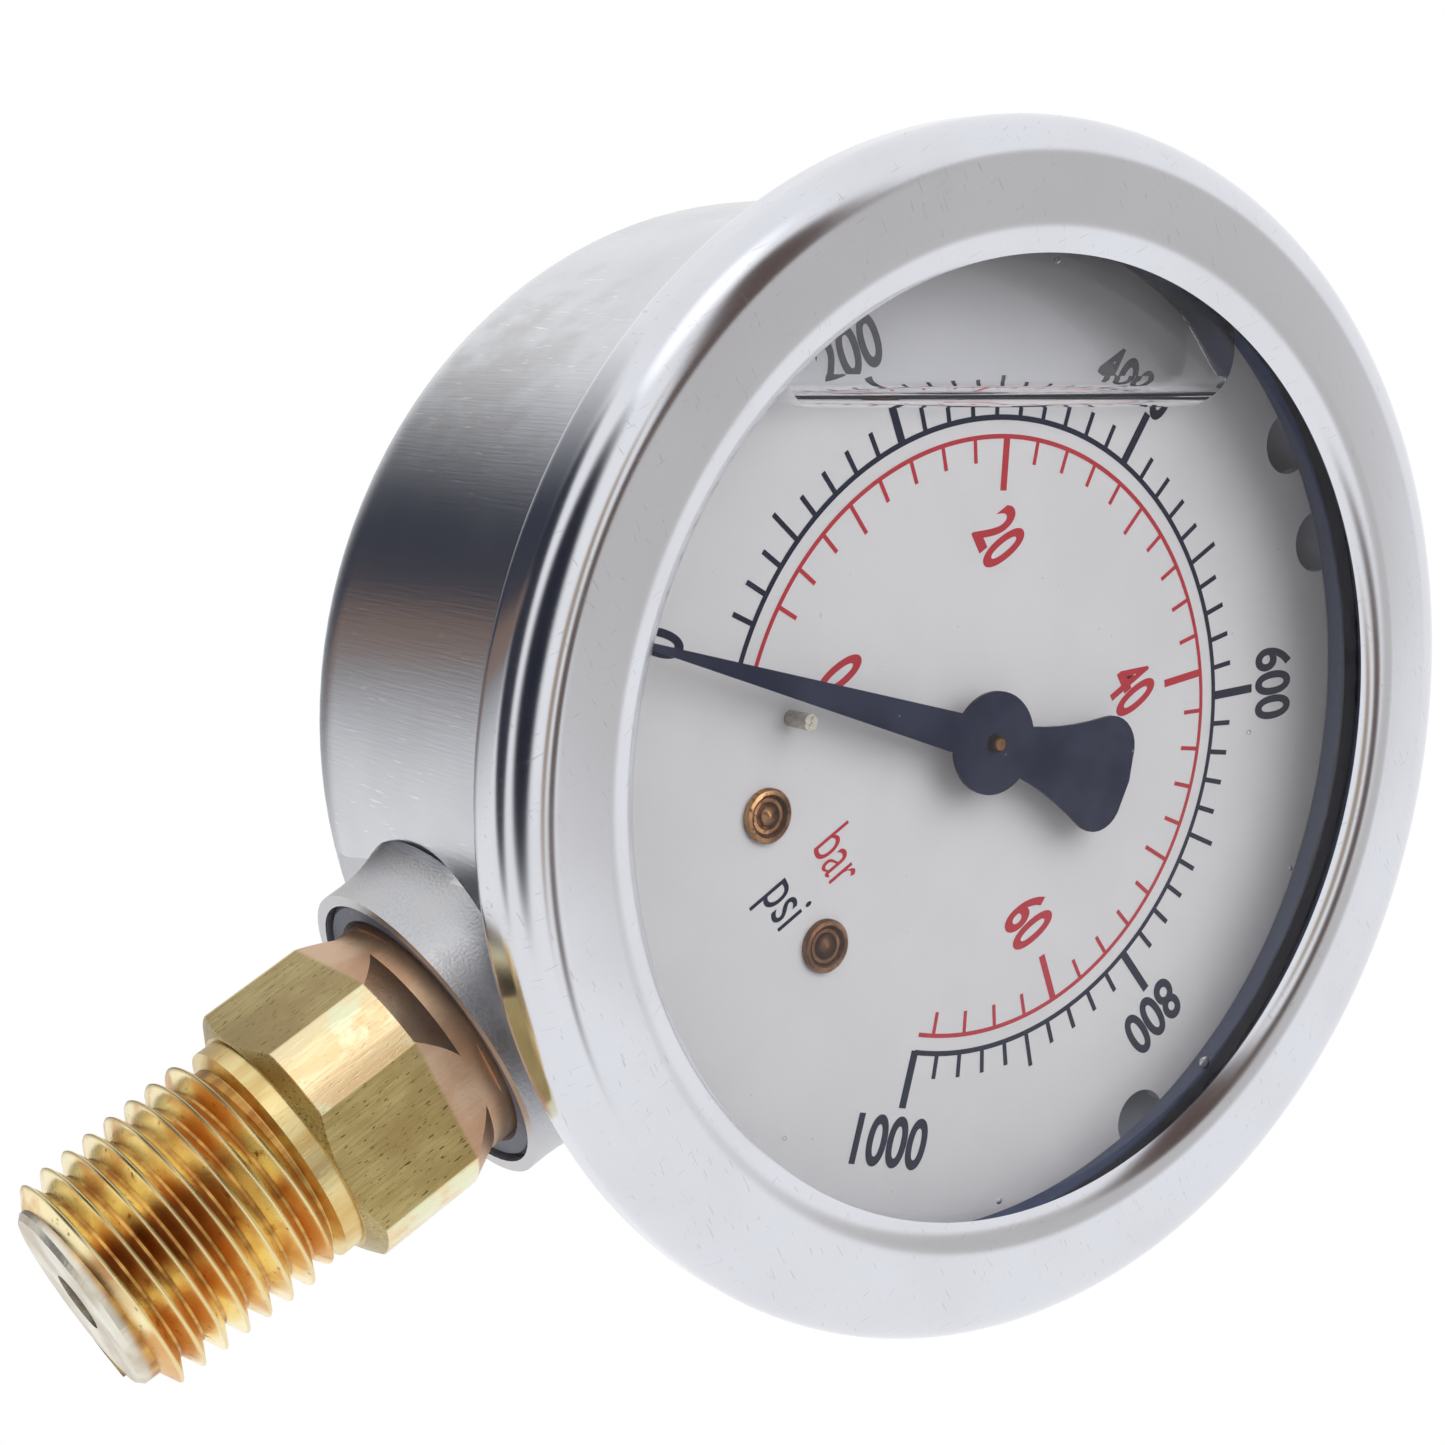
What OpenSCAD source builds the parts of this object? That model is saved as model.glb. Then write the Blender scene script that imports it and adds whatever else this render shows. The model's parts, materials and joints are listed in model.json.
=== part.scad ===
// Liquid-filled Bourdon tube pressure gauge, 63 mm size, with its stem at the bottom.
// The stem's axis is Z, the end of the stem is at the origin, and the dial faces -Y.

/* [Case] */
// Step from the bezel's outside in to the case body
body_step = 3.5; // [3:0.25:4]
// Depth from the bezel's face to the back of the case
case_depth = 32.5; // [31:0.5:40]
// Sheet thickness of the case
case_sheet = 0.7; // [0.5:0.05:0.9]
// Radius of the case's back corner
case_corner = 7; // [5:0.5:9]
// Distance from the stem's axis forward to the bezel's face
face_offset = 17; // [16.5:0.25:18]
// Height of the dial's centre above the end of the stem
dial_height = 57; // [55:0.5:62]
// Diameter of the drawn collar round the stem
collar_d = 18.8; // [18.6:0.1:19.6]
// Length of the collar below the lowest point of the case body
collar_l = 2.9; // [2:0.1:3.6]
// Radius of the flare where the collar leaves the case
collar_flare = 8; // [6:0.5:12]
// Diameter of the filling hole on top of the case
fill_hole_d = 6.4; // [5:0.2:8]
// Distance from the stem's axis back to the filling hole
fill_hole_back = 4; // [2:0.5:5]

/* [Bezel and window] */
// Outer diameter of the crimped bezel
bezel_d = 68; // [67.6:0.2:72]
// Depth of the bezel from its face to its crimped edge
bezel_depth = 5; // [4.8:0.1:5.6]
// Sheet thickness of the bezel
bezel_sheet = 0.8; // [0.6:0.05:1]
// Radius of the bezel's front corner
bezel_roll = 2.4; // [2:0.1:3]
// Radius of the bezel's crimped back edge
bezel_curl = 1.4; // [1.3:0.05:1.5]
// Width of the bezel from its outside to the edge of its opening
rim_w = 7.2; // [6.9:0.1:8]
// Radius of the roll that leads to the lip
lip_roll = 3.1; // [2.6:0.1:3.4]
// Angle through which the lip turns in
lip_turn = 40; // [34:1:44]
// Distance from the bezel's outside in to the window's edge
window_margin = 3.1; // [3:0.05:3.3]
// Thickness of the window
window_t = 3; // [2.8:0.1:3.2]
// Height of the rubber ring behind the window
gasket_h = 2.2; // [1.8:0.1:2.3]
// Gap between the rubber ring's skirt and the dial
skirt_gap = 0.3; // [0.2:0.05:0.4]
// Width of the rubber ring
gasket_w = 2.2; // [2:0.1:2.6]

/* [Dial and pointer] */
// Gap between the dial plate's edge and the case
dial_play = 0.8; // [0.5:0.1:2]
// Thickness of the dial plate
dial_t = 0.8; // [0.6:0.05:1]
// Distance from the window's front to the dial's front
dial_depth = 7.35; // [7.3:0.05:8]
// Radius of the round notches in the dial's edge
notch_r = 1.9; // [1.2:0.1:2.4]
// Distance of each dial screw from the middle
dial_screw_x = 4.4; // [3.6:0.1:5]
// Distance of the dial screws below the dial's centre
dial_screw_drop = 14.3; // [14:0.1:14.8]
// Head diameter of a dial screw
dial_screw_head_d = 3.1; // [2.6:0.1:3.4]
// Shank diameter of a dial screw
dial_screw_d = 2; // [1.6:0.1:2.2]
// Height of the pointer above the dial
pointer_lift = 2.4; // [2:0.1:2.8]
// Thickness of the pointer
pointer_t = 0.4; // [0.3:0.05:0.6]
// Length of the pointer from its axis to the tip
pointer_l = 24.4; // [20:0.2:25.6]
// Width of the pointer's blade at the hub
blade_w = 2.5; // [1.8:0.1:3]
// Width of the pointer's tip
tip_w = 0.35; // [0.2:0.05:0.6]
// Length of the pointer's tail
tail_l = 11.1; // [9:0.1:13]
// Width of the tail's paddle
tail_w = 6.9; // [5.5:0.1:8]
// Diameter of the pointer's hub disc
hub_disc_d = 5.9; // [4.5:0.1:7]
// Angle of the pointer at zero, from the right of the dial
zero_angle = 227; // [222:0.5:230]
// Full swing of the pointer
full_swing = 270; // [240:5:280]
// Diameter of the stop pin
stop_d = 0.9; // [0.6:0.1:1.2]
// Distance of the stop pin from the dial's centre
stop_radius = 13.4; // [12:0.1:14.5]

/* [Movement] */
// Thickness of the movement's two plates
plate_t = 0.8; // [0.6:0.05:1]
// Width of the movement's plates
plate_w = 16; // [15.6:0.1:16.6]
// Length of the pillars between the plates
pillar_l = 6; // [5.9:0.1:6.6]
// Diameter of the pillars
pillar_d = 2.4; // [2:0.1:2.6]
// Module of the teeth
tooth_module = 0.25; // [0.24:0.005:0.26]
// Teeth on the pinion
pinion_teeth = 10; // [10:1:12]
// Teeth that a full circle of the sector's size would have
sector_teeth = 80; // [76:4:88]
// Thickness of the sector
sector_t = 0.8; // [0.6:0.05:0.9]
// Distance from the sector's pivot to the link's pin
tail_arm = 6; // [5:0.1:6.2]
// Angle of the sector's tail at rest, from the right
tail_angle = -54; // [-58:1:-50]
// Length of the link between its pins
link_l = 10; // [9:0.1:10.6]
// Angle of the link at rest, from the right
link_angle = 58; // [54:1:60]
// Thickness of the link
link_t = 0.6; // [0.4:0.05:0.7]
// Diameter of the link's pins
link_pin_d = 1; // [0.8:0.05:1.1]
// Diameter of the pointer's arbor
arbor_d = 1.1; // [0.9:0.05:1.2]
// Turns of the hairspring
spring_turns = 5; // [3:1:6]
// Outer radius of the hairspring
spring_r = 4.2; // [3.6:0.1:4.6]

/* [Bourdon tube] */
// Radius of the tube's centreline
tube_r = 21.5; // [20.5:0.25:22.5]
// Width of the flattened tube
tube_w = 8; // [7:0.25:8.6]
// Thickness of the flattened tube
tube_t = 3; // [2.6:0.1:3.4]
// Wall of the tube
tube_wall = 0.6; // [0.4:0.05:0.8]
// Angle of the tube's root, from the right of the dial
root_angle = 250; // [249:0.5:251]
// Angle of the tube's closed end, from the right of the dial
tip_angle = -30; // [-34:1:-20]

/* [Socket] */
// Width across the socket's wrench flats
flats_w = 14; // [13.5:0.1:14.4]
// Diameter of the round bar that the wrench flats are milled on
bar_d = 16.2; // [15.8:0.1:16.8]
// Length of the wrench flats along the stem
flats_l = 8.8; // [8:0.1:9.4]
// Length of the round neck between the flats and the collar's rim
flats_gap = 1.1; // [0.9:0.1:2]
// Distance that the neck stands out past the wrench flats
neck_step = 0.2; // [0.1:0.05:0.4]
// Root diameter of the tapered spigot at its end
spigot_d = 11; // [10.6:0.05:11.2]
// Length of the turned shoulder below the flats
shoulder_l = 1.4; // [1.2:0.1:3]
// Diameter of the turned shoulder above the spigot
shoulder_d = 13.4; // [12.8:0.1:13.4]
// Diameter of the pressure port
port_d = 3.4; // [3:0.1:3.8]
// Diameter of the hole in the restrictor
restrictor_hole_d = 0.5; // [0.3:0.05:1]
// Depth of the full-width pressure port
port_l = 8; // [6:0.5:10]
// Length of the restrictor plug
restrictor_l = 3; // [2:0.5:5]
// Width of the socket's block inside the case
block_w = 14; // [13:0.25:14.5]

/* [Hidden] */
$fn = 64;
// Radial gap of a shaft that turns in its bearing
run_fit = 0.03;
// Gap between pieces that pass or lie beside each other
gap = 0.1;
// Length that a cutting tool runs past the surface it cuts
over = 1;

// Levels along Y, from the bezel back to the case's wall
face_y = -face_offset;
back_y = face_y + case_depth;
curl_y = face_y + bezel_depth - bezel_curl;
rim_back = curl_y + bezel_curl - bezel_sheet;
rim_front = rim_back - case_sheet;
window_y = face_y + lip_roll - (lip_roll - bezel_sheet) * cos(lip_turn);
window_back = window_y + window_t;
step_y = window_back + gasket_h;
// Length of the sloping step from the window's seat to the case body
step_l = 2;
dial_y = window_y + dial_depth;
dial_back = dial_y + dial_t;
pointer_y = dial_y - pointer_lift;
// The movement's levels, counted from the back of its front plate
spring_rise = 1.4;
sector_rise = 3;
plate_back = dial_back + plate_t;
spring_y = plate_back + spring_rise;
sector_y = plate_back + sector_rise;
link_y = sector_y + sector_t + 2 * gap;
lug_y = link_y + link_t + gap;
// Thickness of the lug that carries the link's far pin
lug_t = 0.8;
back_plate_y = plate_back + pillar_l;
// The tube is centred on the middle of its lug
tube_y = lug_y + lug_t / 2;

// Radii of the front of the case
bezel_r = bezel_d / 2;
case_r = bezel_r - body_step;
case_ri = case_r - case_sheet;
roll_c = bezel_r - bezel_roll;
curl_c = bezel_r - bezel_curl;
lip_c = bezel_r - rim_w + lip_roll * sin(lip_turn);
window_r = bezel_r - window_margin;
seat_ri = window_r + 3 * gap;
seat_r = seat_ri + case_sheet;
corner_y = back_y - case_corner;
collar_r = collar_d / 2;
collar_ri = collar_r - case_sheet;
dial_r = case_ri - dial_play;

// Gear pair: the sector's pivot is straight below the pointer's axis
pinion_r = tooth_module * pinion_teeth / 2;
sector_r = tooth_module * sector_teeth / 2;
pivot = [0, -pinion_r - sector_r];
sector_swing = full_swing * pinion_teeth / sector_teeth;
pressure_angle = 20;
pinion_addendum = tooth_module;
sector_addendum = 0.55 * tooth_module;
root_gap = 0.06;
backlash = 0.07;
tooth_pitch = 360 / sector_teeth;
// Teeth kept past each end of the swing
spare_teeth = 2;
sector_count = ceil(sector_swing / tooth_pitch) + 2 * spare_teeth;
tail_pin = pivot + tail_arm * [cos(tail_angle), sin(tail_angle)];
tip_eye = tail_pin + link_l * [cos(link_angle), sin(link_angle)];
// Angle by which the tube's root runs into the socket, and the brazed gap round it
root_seat = 8;
braze = 0.04;
// Cross drilling from the bore to the tube
cross_r = 0.8;
// Radial play in the link's far hole, where the tube's path and the link's differ
open_play = 0.25;
eye_r = link_pin_d / 2 + 0.7;
arbor_r = arbor_d / 2;
shaft_r = 0.6;
sector_boss_r = 2;
pivot_r = 0.4;

// Filling plug: length of its stem below the case's top, height and brim of its head
plug_stem = 2.6;
plug_head = 1.4;
plug_brim = 1.3;
plug_taper = 0.6;

// Layout of the movement's fasteners, from the dial's centre
plate_top = 5.5;
// Height of the front plate below the dial screws, and of the socket's tongue above them
plate_below = 2.2;
tongue_above = 2.3;
front_plate_low = -dial_screw_drop - plate_below;
back_plate_low = -13;
// Radius of the plates' corners
plate_corner = 2;
pillar_spots = [[-6.4, 3.6], [6.4, 3.6], [-6.4, -8.6]];
stud_spot = [-spring_r - 0.45, 0];
plate_screw_r = 0.5;
plate_screw_head = 0.6;
// Length of a plate screw inside its pillar
plate_screw_grip = 2;
notch_angles = [95.5, 82, 2];

// Levels along Z
collar_rim = dial_height - case_r - collar_l;
flats_high = collar_rim - flats_gap;
neck_r = flats_w / 2 + neck_step;
flats_low = flats_high - flats_l;
spigot_l = flats_low - shoulder_l;
restrictor_low = port_l + 1;
// The bore behind the port is narrower, and the restrictor is pressed into it
bore_d = port_d - 0.4;
case_bottom = dial_height - case_ri;
block_low = dial_height - sqrt(case_ri * case_ri - block_w * block_w / 4) + 0.4;
block_high = dial_height + pivot[1] - tail_arm - eye_r - 0.4;
tongue_high = dial_height - dial_screw_drop + tongue_above;
tongue_t = 2;
// The socket's flange lies in the collar, under the case's inner wall
flange_high = dial_height - case_ri;
flange_low = flange_high - 0.8;
block_back = flats_w / 2;

// A plate cut from an outline that is drawn as seen from the front
module slab(front, back) {
    translate([0, back, dial_height]) rotate([90, 0, 0]) linear_extrude(back - front) children();
}

// A profile of [radius, y] turned about the dial's axis
module turned() {
    translate([0, 0, dial_height]) rotate([-90, 0, 0]) rotate_extrude() children();
}

// A quarter of a ring, in the quadrant that sx and sy name
module quarter_ring(ro, ri, sx, sy) {
    intersection() {
        difference() {
            circle(ro);
            if (ri > 0) circle(ri);
        }
        translate([sx > 0 ? 0 : -ro, sy > 0 ? 0 : -ro]) square(ro);
    }
}

// A flat bar with round ends from a to b
module bar(a, b, w) {
    d = b - a;
    translate(a) circle(w / 2);
    translate(b) circle(w / 2);
    translate(a) rotate(atan2(d[1], d[0])) translate([0, -w / 2]) square([norm(d), w]);
}

// A plate outline with round corners, w wide from low to high
module round_plate(w, low, high, r) {
    translate([-w / 2 + r, low]) square([w - 2 * r, high - low]);
    translate([-w / 2, low + r]) square([w, high - low - 2 * r]);
    for (x = [-w / 2 + r, w / 2 - r], y = [low + r, high - r]) translate([x, y]) circle(r);
}

// The case's outline or hollow, as a half profile that is shifted in by the sheet
module case_profile(inset) {
    rb = case_r - inset;
    rs = seat_r - inset;
    slope = inset * 0.3;
    polygon([[0, rim_front], [rs, rim_front], [rs, step_y - slope], [rb, step_y + step_l - slope],
        [rb, corner_y], [0, corner_y]]);
    square_end = case_r - case_corner;
    translate([square_end, corner_y]) quarter_ring(case_corner - inset, 0, 1, 1);
    translate([0, corner_y]) square([square_end, case_corner - inset]);
}

module collar_solid() {
    flare_low = collar_rim + 1.2;
    flare_top = dial_height - sqrt(case_r * case_r - collar_r * collar_r);
    rise = flare_top - flare_low;
    width = collar_flare - sqrt(max(collar_flare * collar_flare - rise * rise, 0));
    rotate_extrude() {
        translate([0, collar_rim]) square([collar_r, flare_top - collar_rim]);
        difference() {
            translate([collar_r - gap, flare_low]) square([width + gap, rise]);
            translate([collar_r + collar_flare, flare_low]) circle(collar_flare);
        }
    }
}

module case() {
    // The collar's bore runs on until it is inside the hollow all round
    collar_over = case_ri - sqrt(case_ri * case_ri - collar_r * collar_r) + over;
    color("silver") difference() {
        union() {
            turned() case_profile(0);
            turned() translate([0, rim_front]) square([curl_c, case_sheet]);
            collar_solid();
        }
        turned() case_profile(case_sheet);
        turned() translate([0, rim_front - over]) square([seat_ri, 2 * over]);
        translate([0, 0, collar_rim - over]) cylinder(r = collar_ri, h = case_bottom - collar_rim + collar_over);
        translate([0, fill_hole_back, dial_height]) cylinder(d = fill_hole_d, h = case_r + over);
    }
}

// The bezel's outline, or its hollow when it is drawn a sheet further in
module bezel_profile(inset) {
    turn_y = face_y + bezel_roll;
    translate([0, face_y + inset]) square([roll_c, bezel_roll - inset]);
    translate([roll_c, turn_y]) quarter_ring(bezel_roll - inset, 0, 1, -1);
    translate([0, turn_y]) square([bezel_r - inset, curl_y - turn_y]);
    translate([curl_c, curl_y]) quarter_ring(bezel_curl - inset, 0, 1, 1);
    translate([0, curl_y]) square([curl_c, bezel_curl - inset]);
}

module bezel() {
    color("silver") turned() {
        difference() {
            bezel_profile(0);
            bezel_profile(bezel_sheet);
            translate([0, face_y - over]) square([lip_c, 2 * over]);
            translate([0, rim_front]) square([seat_r + gap, 3 * over]);
        }
        translate([lip_c, face_y + lip_roll]) intersection() {
            difference() {
                circle(lip_roll);
                circle(lip_roll - bezel_sheet);
            }
            polygon([[0.01, 0], [0.01, -2 * lip_roll], [0, -2 * lip_roll],
                -2 * lip_roll * [sin(lip_turn), cos(lip_turn)], [0, 0]]);
        }
    }
}

module window() {
    color("lightcyan", 0.4) turned() translate([0, window_y]) square([window_r, window_t]);
}

module window_gasket() {
    ro = seat_ri - gap;
    ri = ro - gasket_w;
    skirt_r = case_ri - 2 * gap;
    skirt_y = dial_y - skirt_gap;
    color("dimgray") turned() polygon([[ri, window_back], [ro, window_back], [ro, step_y - 3 * gap],
        [skirt_r, step_y + step_l - 3 * gap], [skirt_r, skirt_y], [ri, skirt_y]]);
}

module dial() {
    color("gainsboro") slab(dial_y, dial_back) difference() {
        circle(dial_r);
        circle(arbor_r + 0.9);
        for (a = notch_angles) rotate(a) translate([dial_r, 0]) circle(notch_r);
        for (x = [-dial_screw_x, dial_screw_x]) translate([x, -dial_screw_drop]) circle(dial_screw_d / 2);
        stop_place() circle(stop_d / 2);
    }
}

module dial_screws() {
    dome = 0.35;
    color("darkgoldenrod") for (x = [-dial_screw_x, dial_screw_x])
        translate([x, 0, dial_height - dial_screw_drop]) rotate([-90, 0, 0]) rotate_extrude()
            polygon([[0, dial_y - 0.7], [dial_screw_head_d / 2 - dome, dial_y - 0.7],
                [dial_screw_head_d / 2, dial_y - 0.7 + dome], [dial_screw_head_d / 2, dial_y],
                [dial_screw_d / 2, dial_y], [dial_screw_d / 2, plate_back + tongue_t],
                [0, plate_back + tongue_t]]);
}

// Puts its child where the stop pin stands: the pointer's blade rests against it at zero
module stop_place() {
    blade_at_pin = blade_w / 2 + (tip_w - blade_w) / 2 * stop_radius / pointer_l;
    side = blade_at_pin + stop_d / 2 + run_fit;
    rotate(zero_angle + asin(side / stop_radius)) translate([stop_radius, 0]) children();
}

module stop_pin() {
    color("silver") slab(pointer_y - pointer_t - 0.2, dial_back) stop_place() circle(stop_d / 2);
}

module pointer() {
    color("midnightblue") difference() {
        union() {
            pointer_slab() circle(hub_disc_d / 2);
            pointer_slab() rotate(zero_angle) polygon([[0, -blade_w / 2],
                [pointer_l, -tip_w / 2], [pointer_l, tip_w / 2], [0, blade_w / 2]]);
            pointer_slab() rotate(zero_angle + 180) tail_outline();
        }
        slab(pointer_y - pointer_t - over, pointer_y + over) circle(arbor_r);
    }
}

// A plate as thick as the pointer and at its level
module pointer_slab() {
    slab(pointer_y - pointer_t, pointer_y) children();
}

// The tail's paddle, along +X: hollow sides that widen to round corners and a slightly bowed end
module tail_outline() {
    corner = 2;
    reach = tail_l - corner - 0.2;
    half = tail_w / 2 - corner;
    start = [hub_disc_d / 4, blade_w / 2 + 0.1];
    meet = [reach, half] + corner * [cos(117), sin(117)];
    side = [for (i = [0:5]) let (t = i / 6)
        [start[0] + (meet[0] - start[0]) * t, start[1] + (meet[1] - start[1]) * (0.35 + 0.65 * t) * t]];
    top = concat(side, [for (a = [117:-13:0]) [reach, half] + corner * [cos(a), sin(a)]]);
    polygon(concat(top, [[tail_l, 0]], [for (i = [len(top) - 1:-1:0]) [top[i][0], -top[i][1]]]));
}

module pointer_hub() {
    color("darkgoldenrod") slab(pointer_y, dial_y - 0.6) difference() {
        circle(arbor_r + 0.7);
        circle(arbor_r);
    }
}

// Involute function, in degrees
function inv(a) = tan(a) * 180 / PI - a;

// Outline of one tooth on +X, for a gear of n teeth, from its root to its tip
function tooth(n, add, ded) = let (
    rp = tooth_module * n / 2,
    rb = rp * cos(pressure_angle),
    low = max(rb, rp - ded),
    half = 90 / n - backlash / 4 / rp * 180 / PI + inv(pressure_angle),
    flank = [for (i = [0:4]) let (r = low + (rp + add - low) * i / 4, a = half - inv(acos(rb / r)))
        [r, a]],
    all = concat([[rp - ded - 0.1, flank[0][1]]], flank)
) concat(
    [for (p = all) p[0] * [cos(p[1]), -sin(p[1])]],
    [for (i = [len(all) - 1:-1:0]) all[i][0] * [cos(all[i][1]), sin(all[i][1])]]
);

module pinion_arbor() {
    ded = sector_addendum + root_gap;
    color("darkkhaki") {
        slab(sector_y - 0.3, sector_y + sector_t + 0.3) difference() {
            union() {
                circle(pinion_r - ded);
                for (i = [0:pinion_teeth - 1]) rotate(-90 + i * 360 / pinion_teeth)
                    polygon(tooth(pinion_teeth, pinion_addendum, ded));
            }
            circle(arbor_r);
        }
        turned() polygon([[0, pointer_y - pointer_t - 0.9], [arbor_r - 0.22, pointer_y - pointer_t - 0.9],
            [arbor_r - 0.12, pointer_y - pointer_t - 0.8], [arbor_r, pointer_y - pointer_t],
            [arbor_r, back_plate_y - gap], [pivot_r, back_plate_y - gap],
            [pivot_r, back_plate_y + plate_t], [0, back_plate_y + plate_t]]);
    }
}

module spring_collet() {
    color("darkgoldenrod") slab(spring_y - 0.2, spring_y + 0.7) difference() {
        circle(arbor_r + 0.5);
        circle(arbor_r);
    }
}

// Flat spiral strip from the collet to the stud
module hairspring() {
    strip = 0.1;
    steps = 30 * spring_turns;
    inner = arbor_r + 0.5 + run_fit;
    outer = stud_spot[0] + 0.4 + run_fit;
    function at(i, side) = let (r = inner + (-outer - inner - strip) * i / steps + side,
        a = 180 + 360 * spring_turns * (i / steps - 1)) r * [cos(a), sin(a)];
    color("goldenrod") slab(spring_y, spring_y + 0.5)
        polygon(concat([for (i = [0:steps]) at(i, 0)], [for (i = [steps:-1:0]) at(i, strip)]));
}

module spring_stud() {
    color("darkgoldenrod") slab(plate_back, spring_y + 0.7) translate(stud_spot) circle(0.4);
}

module front_plate() {
    color("darkkhaki") slab(dial_back, plate_back) difference() {
        round_plate(plate_w, front_plate_low, plate_top, plate_corner);
        circle(arbor_r + run_fit);
        translate(pivot) circle(pivot_r + run_fit);
        for (x = [-dial_screw_x, dial_screw_x]) translate([x, -dial_screw_drop]) circle(dial_screw_d / 2);
    }
}

module back_plate() {
    color("darkkhaki") slab(back_plate_y, back_plate_y + plate_t) difference() {
        round_plate(plate_w, back_plate_low, plate_top, plate_corner);
        circle(pivot_r + run_fit);
        translate(pivot) circle(pivot_r + run_fit);
        for (p = pillar_spots) translate(p) circle(plate_screw_r);
    }
}

module pillars() {
    color("darkgoldenrod") for (p = pillar_spots) slab(plate_back, back_plate_y) translate(p) difference() {
        circle(pillar_d / 2);
        circle(plate_screw_r);
    }
}

module plate_screws() {
    top = back_plate_y + plate_t;
    color("darkgoldenrod") for (p = pillar_spots) {
        slab(top, top + plate_screw_head) translate(p) circle(2 * plate_screw_r);
        slab(back_plate_y - plate_screw_grip, top) translate(p) circle(plate_screw_r);
    }
}

// Toothed sector: a rim on two spokes, with a tail for the link
module sector_gear() {
    ded = pinion_addendum + root_gap;
    rim_r = sector_r - ded;
    rim_w = 1.6;
    low_a = 90 - sector_swing - spare_teeth * tooth_pitch;
    high_a = 90 + spare_teeth * tooth_pitch;
    color("goldenrod") slab(sector_y, sector_y + sector_t) translate(pivot) difference() {
        union() {
            intersection() {
                difference() {
                    circle(rim_r);
                    circle(rim_r - rim_w);
                }
                polygon([[0, 0], 2 * sector_r * [cos(low_a), sin(low_a)],
                    2 * sector_r * [cos(high_a), sin(high_a)]]);
            }
            for (i = [0:sector_count - 1]) rotate(high_a - (i + 0.5) * tooth_pitch)
                polygon(tooth(sector_teeth, sector_addendum, ded));
            for (a = [low_a + 7, high_a - 7]) bar([0, 0], (rim_r - rim_w / 2) * [cos(a), sin(a)], 1.6);
            circle(sector_boss_r);
            bar([0, 0], tail_pin - pivot, 2 * eye_r);
        }
        circle(shaft_r);
        translate(tail_pin - pivot) circle(link_pin_d / 2);
    }
}

module sector_shaft() {
    color("darkkhaki") translate([0, 0, pivot[1]]) turned()
        polygon([[0, dial_back], [pivot_r, dial_back], [pivot_r, plate_back + gap],
            [shaft_r, plate_back + gap], [shaft_r, back_plate_y - gap],
            [pivot_r, back_plate_y - gap], [pivot_r, back_plate_y + plate_t],
            [0, back_plate_y + plate_t]]);
}

module link() {
    color("darkkhaki") slab(link_y, link_y + link_t) difference() {
        bar(tail_pin, tip_eye, 2 * eye_r - 0.2);
        translate(tail_pin) circle(link_pin_d / 2 + run_fit);
        translate(tip_eye) circle(link_pin_d / 2 + open_play);
    }
}

// Shouldered screw that carries the link on the sector's tail
module link_screw() {
    color("darkgoldenrod") {
        slab(sector_y - 0.4, link_y + link_t + gap) translate(tail_pin) circle(link_pin_d / 2);
        slab(link_y + link_t + gap, link_y + link_t + 0.5) translate(tail_pin) circle(0.9);
    }
}

// A flattened tube's outline across its wall, centred on the tube's radius
module flat_oval(w, t) {
    translate([-t / 2, -(w - t) / 2]) square([t, w - t]);
    for (s = [-1, 1]) translate([0, s * (w - t) / 2]) circle(t / 2);
}

// A swept piece of the tube between two angles, from the right of the dial
module tube_sweep(from, to) {
    translate([0, 0, dial_height]) rotate([-90, 0, 0]) rotate([0, 0, -from])
        rotate_extrude(angle = from - to) translate([tube_r, tube_y]) children();
}

module bourdon_tube() {
    color("peru") tube_sweep(root_angle + root_seat, tip_angle) difference() {
        flat_oval(tube_w, tube_t);
        flat_oval(tube_w - 2 * tube_wall, tube_t - 2 * tube_wall);
    }
}

// End piece that closes the tube and carries the link's far pin on a lug
module tube_tip() {
    cap_gap = 0.15;
    cap_turn = 8;
    mid = tip_angle - cap_turn / 2;
    color("goldenrod") {
        tube_sweep(tip_angle - cap_gap, tip_angle - cap_turn) flat_oval(tube_w + 0.6, tube_t + 0.6);
        slab(lug_y, lug_y + lug_t) difference() {
            bar(tip_eye, (tube_r - tube_t / 2) * [cos(mid), sin(mid)], 2 * eye_r);
            translate(tip_eye) circle(link_pin_d / 2);
        }
    }
}

module tip_pin() {
    color("darkgoldenrod") {
        slab(link_y - 0.5, lug_y + lug_t + 0.2) translate(tip_eye) circle(link_pin_d / 2);
        slab(link_y - 0.9, link_y - 0.1) translate(tip_eye) circle(1);
    }
}

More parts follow.
